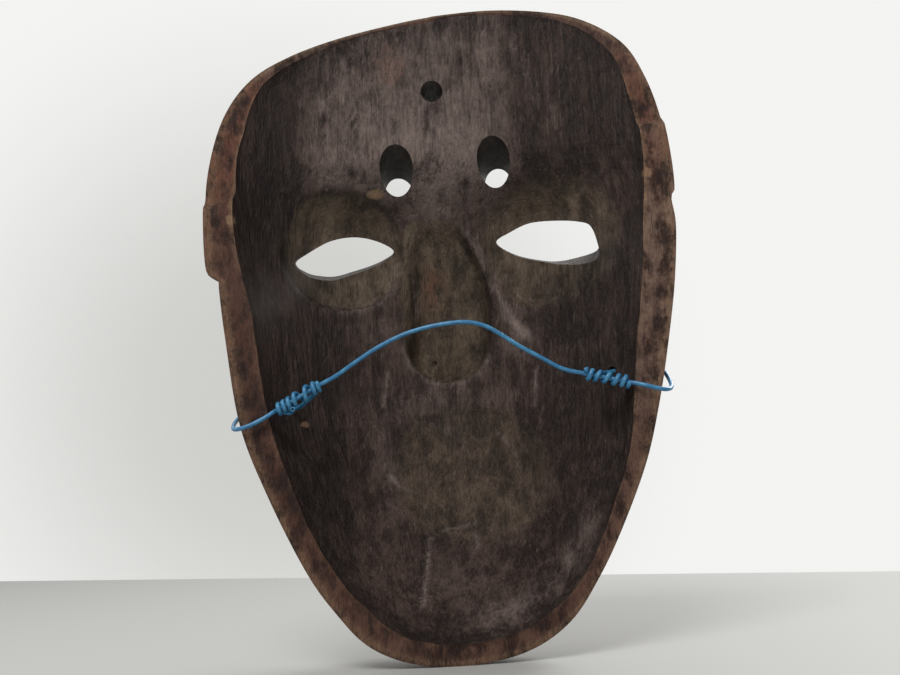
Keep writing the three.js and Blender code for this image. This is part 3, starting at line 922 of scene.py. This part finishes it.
# Horn sockets and top hole: middle x and z, half width and half height, at the back and the front.
BORE_FRONT_Y = -68
BORE_BACK_Y = -38
FLARED_BORES = [
    ((19.5, 89.6, 8.0, 10.9), (20.1, 85.0, 8, 8)),
    ((-27.9, 91.2, 7.8, 11.4), (-31.4, 88.2, 7, 7)),
    ((0.3, 126.2, 5.2, 5.2), (0.3, 123.2, 5, 5)),
]
WIRE_HOLES = [((58, -17, -23.4), (104, -17, -26)), ((-60, -17, -16.7), (-106, -17, -14.1))]
WIRE_HOLE_RADIUS = 2.25
WIRE_HOLE_SIDES = 48
CUTTER_FRONT_Y = -92
CUTTER_BACK_Y = -12
OVAL_SIDES = 64
EDGE_ANGLE = 38


def smooth_ring(outline):
    """A closed smooth outline through an eye's corners."""
    return catmull_rom([(x, 0, z) for x, z in outline], 6, closed=True)[:, (0, 2)]


def oval_ring(middle_x, middle_z, half_x, half_z):
    turn = np.linspace(0, 2 * math.pi, OVAL_SIDES, endpoint=False)
    return np.column_stack([middle_x + half_x * np.cos(turn), middle_z + half_z * np.sin(turn)])


def opening_cutter(front, front_y, back, back_y):
    """A straight-sided block through two outlines, reaching well past both of them."""
    slope = (back - front) / (back_y - front_y)
    ends = [(y, front + slope * (y - front_y)) for y in (CUTTER_FRONT_Y, CUTTER_BACK_Y)]
    far, near = [[Vector((x, y, z)) * MM for x, z in ring] for y, ring in ends]
    bpy.ops.object.select_all(action="DESELECT")
    bpy.ops.mesh.primitive_circle_add(vertices=len(far), fill_type="NGON", radius=1)
    cutter = bpy.context.object
    for vertex, place in zip(cutter.data.vertices, far):
        vertex.co = place
    bpy.ops.object.mode_set(mode="EDIT")
    bpy.ops.mesh.select_all(action="SELECT")
    bpy.ops.mesh.extrude_region_move()
    bpy.ops.object.mode_set(mode="OBJECT")
    for vertex in cutter.data.vertices:
        if vertex.select:
            index = min(range(len(far)), key=lambda i: (vertex.co - far[i]).length)
            vertex.co = near[index]
    face_outwards(cutter)
    return cutter


def select_only(piece):
    bpy.ops.object.select_all(action="DESELECT")
    piece.select_set(True)
    bpy.context.view_layer.objects.active = piece


def face_outwards(piece):
    select_only(piece)
    bpy.ops.object.mode_set(mode="EDIT")
    bpy.ops.mesh.select_all(action="SELECT")
    bpy.ops.mesh.normals_make_consistent(inside=False)
    bpy.ops.object.mode_set(mode="OBJECT")


def bore_cutter(start, end):
    """A round rod the size of a wire hole, from start to end."""
    start, end = Vector(start) * MM, Vector(end) * MM
    along = end - start
    turn = along.to_track_quat("Z", "Y").to_euler()
    bpy.ops.object.select_all(action="DESELECT")
    bpy.ops.mesh.primitive_cylinder_add(
        vertices=WIRE_HOLE_SIDES, radius=WIRE_HOLE_RADIUS * MM, depth=along.length,
        location=(start + end) / 2, rotation=turn,
    )
    cutter = bpy.context.object
    bpy.ops.object.transform_apply(location=True, rotation=True, scale=True)
    return cutter


def cut_away(block, cutter):
    """Takes the cutter's shape out of the block, and removes the cutter."""
    select_only(block)
    cut = block.modifiers.new("cut", "BOOLEAN")
    cut.operation = "DIFFERENCE"
    cut.solver = "MANIFOLD"
    cut.object = cutter
    bpy.ops.object.modifier_apply(modifier=cut.name)
    bpy.data.objects.remove(cutter)


def nearest_points(points, block):
    """For each vertex of the cut block, which of the uncut block's points lies nearest."""
    tree = KDTree(len(points))
    for index, point in enumerate(points):
        tree.insert(point * MM, index)
    tree.balance()
    return [tree.find(vertex.co)[1] for vertex in block.data.vertices]


def make_mask():
    """The carved block with its openings cut, its zones painted and its edges kept crisp."""
    block, points, row = carve_block()
    for front, back in ((LEFT_EYE, LEFT_EYE_BACK), (RIGHT_EYE, RIGHT_EYE_BACK)):
        cut_away(block, opening_cutter(smooth_ring(front), EYE_FRONT_Y, smooth_ring(back), EYE_BACK_Y))
    for back, front in FLARED_BORES:
        cut_away(block, opening_cutter(oval_ring(*front), BORE_FRONT_Y, oval_ring(*back), BORE_BACK_Y))
    for start, end in WIRE_HOLES:
        cut_away(block, bore_cutter(start, end))
    nearest = nearest_points(points, block)
    paint_zones(block, points[nearest], row[nearest])
    select_only(block)
    bpy.ops.object.shade_smooth_by_angle(angle=math.radians(EDGE_ANGLE))
    return block


# ---- materials -------------------------------------------------------------------------------


ATTRIBUTE_VALUE = 2
OBJECT_PLACE = 3


def new_finish(name, shader_values):
    """A material, its shader node, and the flow of the object's place in metres."""
    material = bpy.data.materials.new(name)
    material.use_nodes = True
    tree = material.node_tree
    shader = tree.nodes["Principled BSDF"]
    for socket, value in shader_values.items():
        shader.inputs[socket].default_value = value
    place = Flow(tree, None).node("ShaderNodeTexCoord", (), (), OBJECT_PLACE)
    return material, shader, place


def noise(place, stretch, scale, detail, roughness):
    """Noise of scale cells to a metre, drawn out along an axis whose stretch is small."""
    sockets = {"Vector": place * stretch, "Scale": scale, "Detail": detail, "Roughness": roughness}
    return place.node("ShaderNodeTexNoise", (), sockets)


def finish_with(shader, colour, roughness, height, depth):
    """Feeds the shader its colour and roughness, and a relief of that depth in metres."""
    relief = colour.node("ShaderNodeBump", (), {"Height": height, "Distance": depth, "Strength": 1.0})
    for name, flow in (("Base Color", colour), ("Roughness", roughness), ("Normal", relief)):
        colour.tree.links.new(flow.socket, shader.inputs[name])


# The wood's colours: the dark hollow, its painted highlights and oiled patches, the painted shade, the rim
# and the front.
DARK_WOOD = (0.0205, 0.0108, 0.0082)
WARM_WOOD = (0.066, 0.040, 0.032)
# For painted highlights, painted glints and pale scuffs.
HIGHLIGHT_AND_SCUFF_WOOD = (0.200, 0.150, 0.132)
OLIVE_WOOD = (0.152, 0.111, 0.073)
OLIVE_DARK = (0.038, 0.027, 0.0175)
RIM_WOOD = (0.066, 0.026, 0.0165)
RIM_RED = (0.025, 0.0098, 0.0066)
RIM_DUST = (0.235, 0.168, 0.128)
FRONT_WOOD = (0.150, 0.078, 0.043)
FRONT_DARK = (0.066, 0.033, 0.020)
TAN_WOOD = (0.29, 0.185, 0.11)
RED_WOOD = (0.18, 0.060, 0.031)
# Near black: painted shade in the hollow, and dark fibres in the grain.
SHADE_AND_FIBRE_DARK = (0.0105, 0.0055, 0.0042)
BORED_WOOD = (0.060, 0.047, 0.038)


WOOD_RELIEF = 0.0021
HAIRLINE_TILT = (0.0, 0.55, 0.0)


def painted(place, name):
    """The three values that the mask's vertices hold under a name."""
    values = place.node("ShaderNodeAttribute", {"attribute_name": name})
    return [values.part(axis) for axis in "XYZ"]


def wood_grain(place):
    """The noises that the wood's colours and relief are made of."""
    turned = place.node("ShaderNodeMapping", (), {"Vector": place, "Rotation": HAIRLINE_TILT})
    return SimpleNamespace(
        streaks=noise(place, (1, 1, 0.07), 480, 5, 0.65),
        bands=noise(place, (1, 1, 0.12), 130, 5, 0.65),
        fibres=noise(place, (1, 1, 0.05), 1300, 3, 0.6),
        strokes=noise(place + (0.3, 0.1, 0.2), (1, 1, 0.08), 800, 2, 0.5),
        mottle=noise(place, (1, 1, 0.6), 135, 8, 0.72),
        blotch=noise(place, (1, 1, 0.6), 34, 6, 0.65),
        specks=noise(place, (1, 1, 0.6), 950, 2, 0.5),
        hairlines=noise(turned, (1, 1, 0.06), 1000, 2, 0.5),
        scratches=noise(place, (1, 1, 0.25), 1100, 4, 0.7),
    )


def glint_places(grain, pale):
    """Painted glints: fine scratches drawn as catching the light, most of them where highlights are
    painted.
    """
    upright = grain.strokes.rise(0.60, 0.68) * grain.blotch.rise(0.42, 0.60) * (pale * 0.7 + 0.3)
    slanted = grain.hairlines.rise(0.64, 0.70) * grain.bands.rise(0.46, 0.60) * (pale * 0.5 + 0.35)
    return upright.most(slanted)


def hollow_colour(grain, olive, pale, shade_and_dark_rim, glints):
    """Dark streaked wood with oiled places, painted highlights and painted shade, and painted glints on
    fine scratches.
    """
    mixed = grain.streaks * 0.2 + grain.bands * 0.25 + grain.mottle * 0.35 + grain.blotch * 0.2
    colour = mix_colours(mixed.rise(0.43, 0.575), DARK_WOOD, WARM_WOOD)
    # Painted sheen and highlights where the pale zone lies.
    light = pale * (grain.streaks * 0.3 + grain.mottle * 0.45 + grain.blotch * 0.25).rise(0.34, 0.62)
    colour = mix_colours(light.least(1.0) * 0.9, colour, HIGHLIGHT_AND_SCUFF_WOOD)
    oil_grain = grain.mottle * 0.55 + grain.blotch * 0.25 + grain.bands * 0.2
    oiled = mix_colours(oil_grain.rise(0.37, 0.64), OLIVE_DARK, OLIVE_WOOD)
    colour = mix_colours((olive * 0.9 - light * 0.7).most(0.0), colour, oiled)
    # Painted shade, broken up by the grain.
    shadow = shade_and_dark_rim * (0.48 + (1 - (mixed * 0.5 + grain.streaks * 0.5).rise(0.42, 0.6)) * 0.62)
    colour = mix_colours(shadow.least(1.0), colour, SHADE_AND_FIBRE_DARK)
    return mix_colours(glints * 0.7, colour, HIGHLIGHT_AND_SCUFF_WOOD)


def rim_colour(grain, dust, shade_and_dark_rim):
    """Reddish brown wood with pale dust rubbed into it."""
    colour = mix_colours((grain.mottle * 0.55 + grain.blotch * 0.45).rise(0.42, 0.58), RIM_RED, RIM_WOOD)
    dusty = (grain.mottle * 0.55 + grain.streaks * 0.15 + grain.blotch * 0.3).rise(0.43, 0.60)
    colour = mix_colours(dusty * (dust * 0.72 + 0.06), colour, RIM_DUST)
    return mix_colours(shade_and_dark_rim, colour, RIM_RED)


def face_colour(grain):
    """The plain oiled front, with upright grain."""
    upright = grain.bands * 0.45 + grain.streaks * 0.35 + grain.blotch * 0.2
    colour = mix_colours(upright.rise(0.34, 0.64), FRONT_DARK, FRONT_WOOD)
    return mix_colours(grain.mottle.rise(0.52, 0.66) * 0.25, colour, FRONT_DARK)


def weathered_and_highlit(colour, grain, crease_highlight_and_wear, chips, red):
    """The painted highlight along the inner crease with the rubbed outer edge, and the chips, reddish
    stains, specks and dark fibres that lie over all of it.
    """
    # Tan over the crease's painted highlight and over the rubbed outer edge.
    colour = mix_colours(crease_highlight_and_wear * (grain.mottle + grain.specks * 0.4).rise(0.5, 0.8) * 0.8, colour, TAN_WOOD)
    colour = mix_colours((chips * (grain.mottle + 0.4)).rise(0.25, 0.6) * 0.8, colour, TAN_WOOD)
    colour = mix_colours(red * grain.mottle.rise(0.40, 0.58) * 0.65, colour, RED_WOOD)
    colour = mix_colours(grain.specks.rise(0.70, 0.78) * 0.22, colour, TAN_WOOD)
    return mix_colours(grain.fibres.rise(0.58, 0.68) * 0.5, colour, SHADE_AND_FIBRE_DARK)


def carved_wood():
    material, shader, place = new_finish("carved wood", {"Specular IOR Level": 0.27})
    rim, olive, pale = painted(place, "zones")
    crease_highlight_and_wear, shade_and_dark_rim, front = painted(place, "marks")
    dust, chips, red = painted(place, "touches")
    skin = place.node("ShaderNodeAttribute", {"attribute_name": "skin"}, (), ATTRIBUTE_VALUE)
    grain = wood_grain(place)
    glints = glint_places(grain, pale)

    inner = hollow_colour(grain, olive, pale, shade_and_dark_rim, glints)
    outer = mix_colours(front, rim_colour(grain, dust, shade_and_dark_rim), face_colour(grain))
    colour = weathered_and_highlit(mix_colours(rim, inner, outer), grain, crease_highlight_and_wear, chips, red)
    bored = mix_colours(grain.mottle.rise(0.4, 0.6), DARK_WOOD, BORED_WOOD)
    colour = mix_colours(skin, bored, colour)

    roughness = 0.34 + grain.mottle * 0.34 + rim * 0.08 - glints * 0.1
    height = grain.streaks * 0.4 + grain.fibres * 0.15 + grain.mottle * 0.9
    height += grain.scratches.rise(0.45, 0.7) * 0.14 + grain.blotch * 0.6
    finish_with(shader, colour, roughness, height, WOOD_RELIEF)
    return material


PLASTIC_DARK = (0.028, 0.155, 0.315)
PLASTIC_BLUE = (0.066, 0.255, 0.43)
PLASTIC_SCUFF = (0.25, 0.36, 0.42)
COPPER_BRIGHT = (0.75, 0.36, 0.2)
COPPER_DULL = (0.32, 0.15, 0.08)
EVEN = (1, 1, 1)


def blue_plastic():
    material, shader, place = new_finish("blue insulation", {"Specular IOR Level": 0.5})
    dust = noise(place, EVEN, 260, 4, 0.6)
    scuffs = noise(place, EVEN, 1400, 3, 0.6)
    colour = mix_colours(dust.rise(0.4, 0.72), PLASTIC_DARK, PLASTIC_BLUE)
    colour = mix_colours(scuffs.rise(0.62, 0.75) * 0.4, colour, PLASTIC_SCUFF)
    finish_with(shader, colour, 0.2 + dust * 0.3, scuffs * 0.4 + dust * 0.6, 0.00015)
    return material


def copper_strand():
    material, shader, place = new_finish("copper strand", {"Metallic": 1.0})
    tarnish = noise(place, EVEN, 900, 4, 0.6)
    colour = mix_colours(tarnish.rise(0.4, 0.7), COPPER_BRIGHT, COPPER_DULL)
    finish_with(shader, colour, 0.22 + tarnish * 0.3, tarnish, 0.0001)
    return material


mask = make_mask()
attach(mask, "mask")
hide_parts("mask_body")
for piece, finish in ((mask, carved_wood), (jacket, blue_plastic), (core, copper_strand)):
    piece.data.materials.clear()
    piece.data.materials.append(finish())
